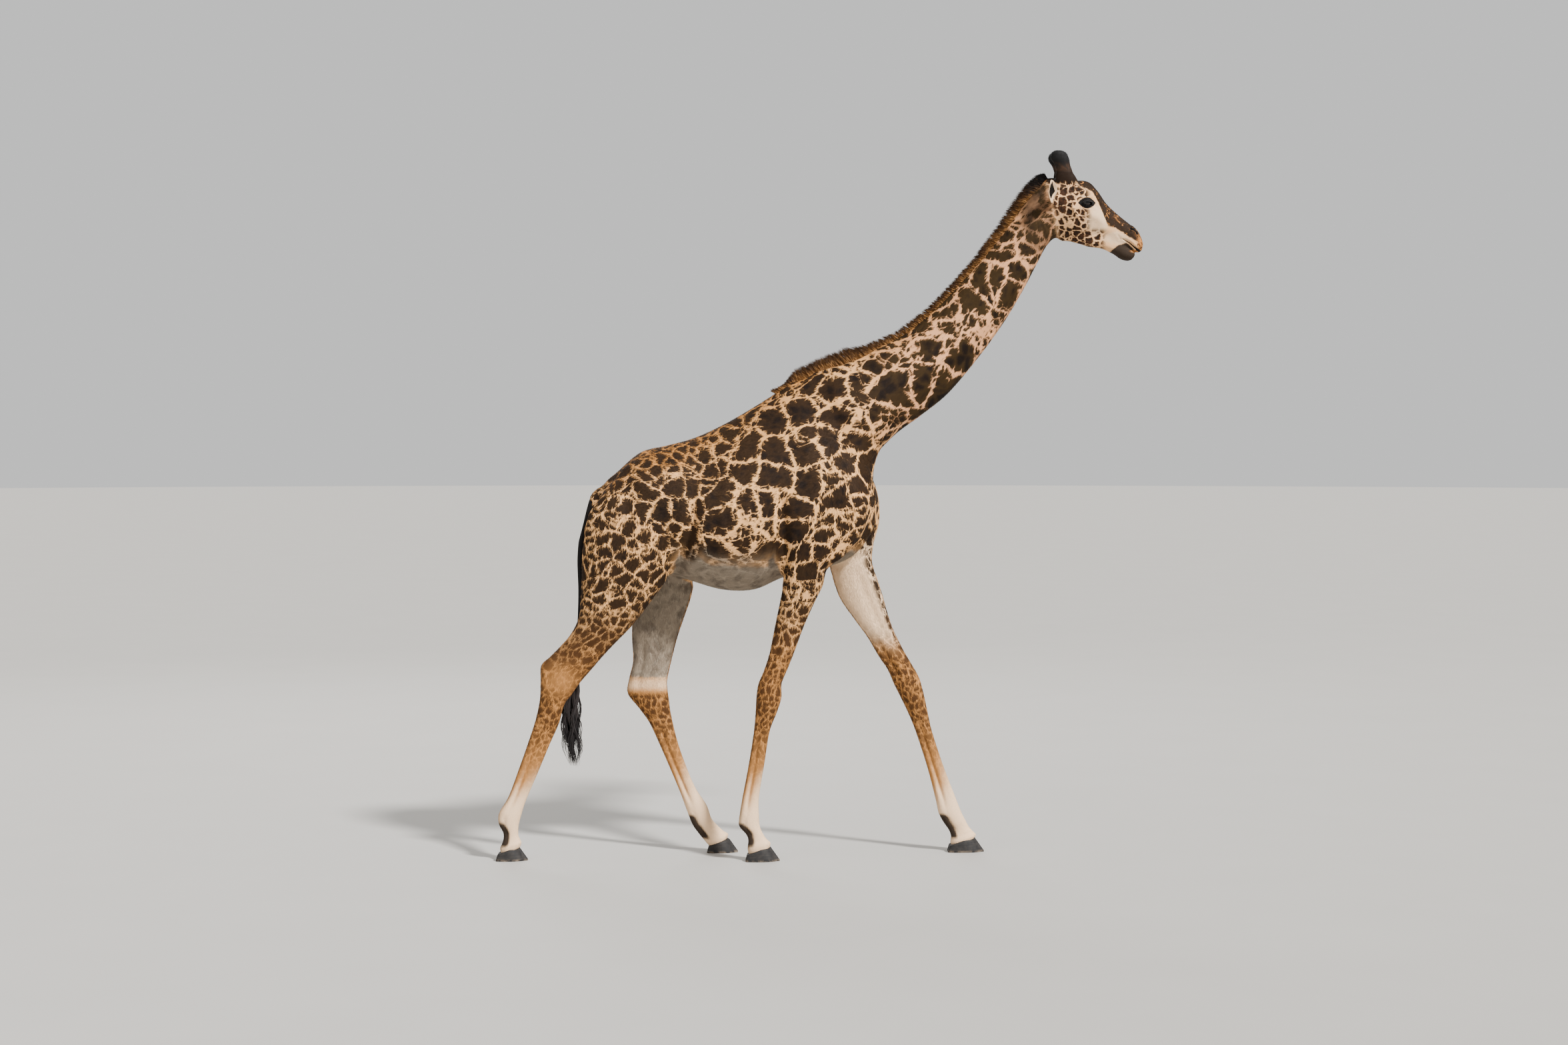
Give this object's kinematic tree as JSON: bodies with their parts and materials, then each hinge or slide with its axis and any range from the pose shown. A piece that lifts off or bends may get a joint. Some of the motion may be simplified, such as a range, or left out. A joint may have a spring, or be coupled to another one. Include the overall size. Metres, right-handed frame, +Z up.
{
  "type": "giraffe",
  "caption": "Life-size still model of an adult Masai giraffe in mid walk, head up, mouth shut, standing on the flat soles of its hooves.",
  "frame": {"origin": "on the floor under the middle of the animal's box", "axes": "+X the way it walks, +Y its left side, +Z up"},
  "size_m": [3.514, 0.65, 3.842],
  "materials": {
    "coat_body": "short flat hair in dark brown vine-leaf patches on peach-cream",
    "coat_leg": "short flat hair, tan with brown spots, white above the hooves",
    "coat_face": "very short hair, cream with small brown spots, dark nose ridge",
    "mane_hair": "stiff upright bristles, brown with dark tips",
    "tail_hair": "long black wavy strands",
    "ossicone_hair": "black hair over bone",
    "hoof": "dull grey-black horn with growth lines",
    "eye": "wet dark brown eyeball"
  },
  "bodies": {
    "root": {"ear_left": "coat_face", "ear_right": "coat_face", "eye_left": "eye", "eye_right": "eye", "head": "coat_face", "hoof_front_left_inner": "hoof", "hoof_front_left_outer": "hoof", "hoof_front_right_inner": "hoof", "hoof_front_right_outer": "hoof", "hoof_hind_left_inner": "hoof", "hoof_hind_left_outer": "hoof", "hoof_hind_right_inner": "hoof", "hoof_hind_right_outer": "hoof", "leg_front_left_lower": "coat_leg", "leg_front_left_upper": "coat_leg", "leg_front_right_lower": "coat_leg", "leg_front_right_upper": "coat_leg", "leg_hind_left_lower": "coat_leg", "leg_hind_left_upper": "coat_leg", "leg_hind_right_lower": "coat_leg", "leg_hind_right_upper": "coat_leg", "lower_jaw": "coat_face", "mane": "mane_hair", "neck": "coat_body", "ossicone_left": "ossicone_hair", "ossicone_right": "ossicone_hair", "tail": "coat_body", "tail_tuft": "tail_hair", "trunk": "coat_body"}
  },
  "joints": []
}
